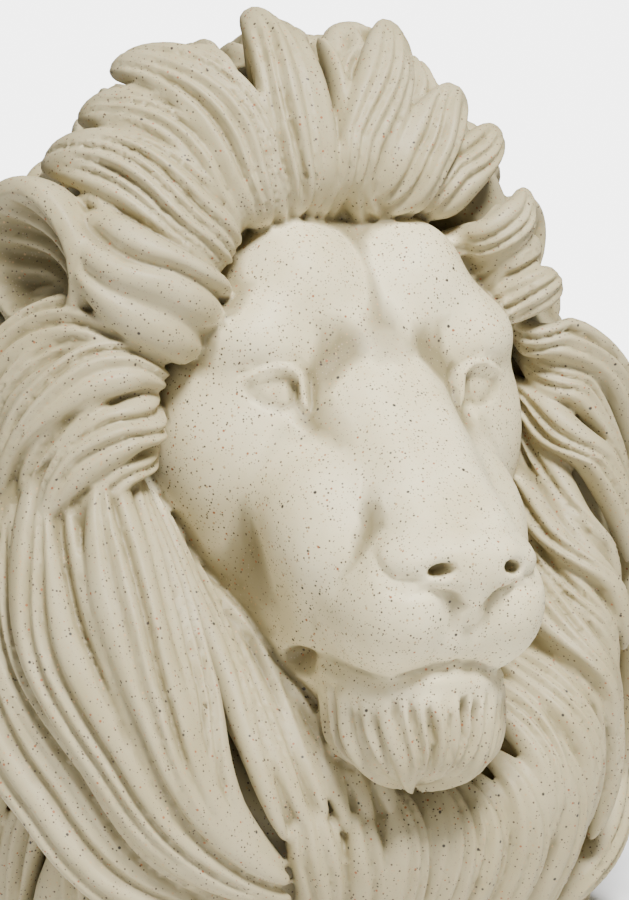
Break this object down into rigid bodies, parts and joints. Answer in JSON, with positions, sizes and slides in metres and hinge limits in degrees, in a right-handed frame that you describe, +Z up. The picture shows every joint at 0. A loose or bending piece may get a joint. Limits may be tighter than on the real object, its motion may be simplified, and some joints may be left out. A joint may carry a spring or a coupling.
{
  "type": "lion bust figurine",
  "caption": "Cast resin bust of a lion's head with a full carved mane, cut flat below, in speckled cream stone finish.",
  "frame": {"origin": "on the flat base, under the middle of the face's axis", "axes": "+Z up, the lion faces -Y, its left is +X"},
  "size_m": [0.1619, 0.1322, 0.1845],
  "materials": {
    "lion_bust": "satin cast resin, cream, finely speckled dark brown"
  },
  "bodies": {
    "root": {"lion_bust": "lion_bust"}
  },
  "joints": []
}
